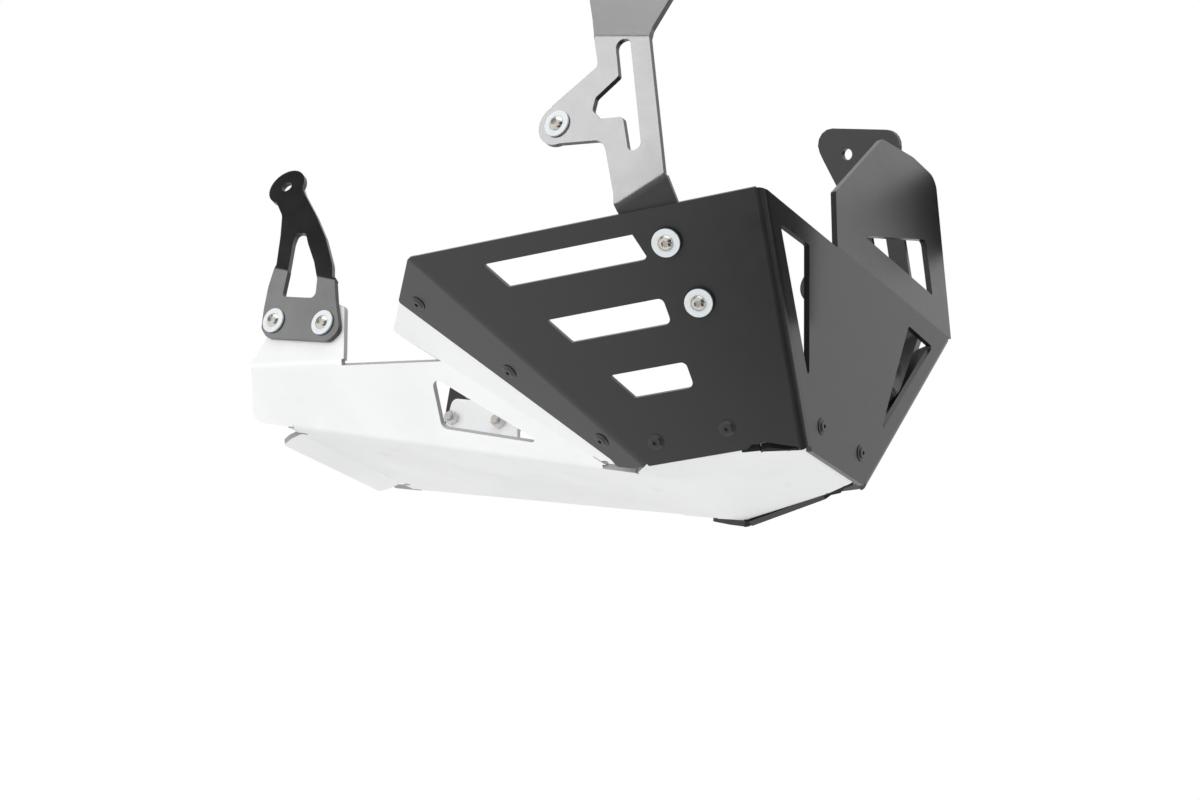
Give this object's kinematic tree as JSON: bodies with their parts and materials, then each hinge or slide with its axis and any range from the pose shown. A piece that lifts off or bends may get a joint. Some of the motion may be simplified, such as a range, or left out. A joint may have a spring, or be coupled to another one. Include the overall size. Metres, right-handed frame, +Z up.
{
  "type": "motorcycle skid plate",
  "caption": "Folded sheet-metal skid plate for a motorcycle: black slotted nose riveted to a bare trough-shaped bottom, with bolted frame brackets.",
  "frame": {"origin": "middle of the flat bottom panel, on its underside", "axes": "+X to the front wheel, +Y to the motorcycle's left, +Z up"},
  "size_m": [0.4687, 0.3806, 0.3353],
  "materials": {
    "black_plate": "satin black powder coat on aluminium sheet",
    "bare_plate": "bare satin aluminium sheet",
    "black_rivet": "black blind rivet",
    "front_bracket_coat": "dark satin powder coat with a cool sheen",
    "rear_bracket_coat": "satin black powder coat",
    "bolt_steel": "zinc-plated button head",
    "washer_zinc": "bright zinc",
    "washer_rubber": "matt black rubber",
    "nut_steel": "zinc-plated"
  },
  "bodies": {
    "root": {"nose_plate": "black_plate", "bottom_plate": "bare_plate", "nose_rivets": "black_rivet", "front_bracket_right": "front_bracket_coat", "front_bracket_left": "front_bracket_coat", "rear_bracket_right": "rear_bracket_coat", "rear_bracket_left": "rear_bracket_coat", "strip_rivets_right": "black_rivet", "strip_rivets_left": "black_rivet", "side_rivets_right": "black_rivet", "side_rivets_left": "black_rivet", "front_bolts_right": "bolt_steel", "front_bolts_left": "bolt_steel", "front_washers_right": "washer_zinc", "front_washers_left": "washer_zinc", "rubber_washers_right": "washer_rubber", "rubber_washers_left": "washer_rubber", "front_nuts_right": "nut_steel", "front_nuts_left": "nut_steel", "rear_bolts_right": "bolt_steel", "rear_bolts_left": "bolt_steel", "rear_washers_right": "washer_zinc", "rear_washers_left": "washer_zinc", "rear_nuts_right": "nut_steel", "rear_nuts_left": "nut_steel", "arm_bolt_right": "bolt_steel", "arm_bolt_left": "bolt_steel", "arm_washer_right": "washer_zinc", "arm_washer_left": "washer_zinc"}
  },
  "joints": []
}
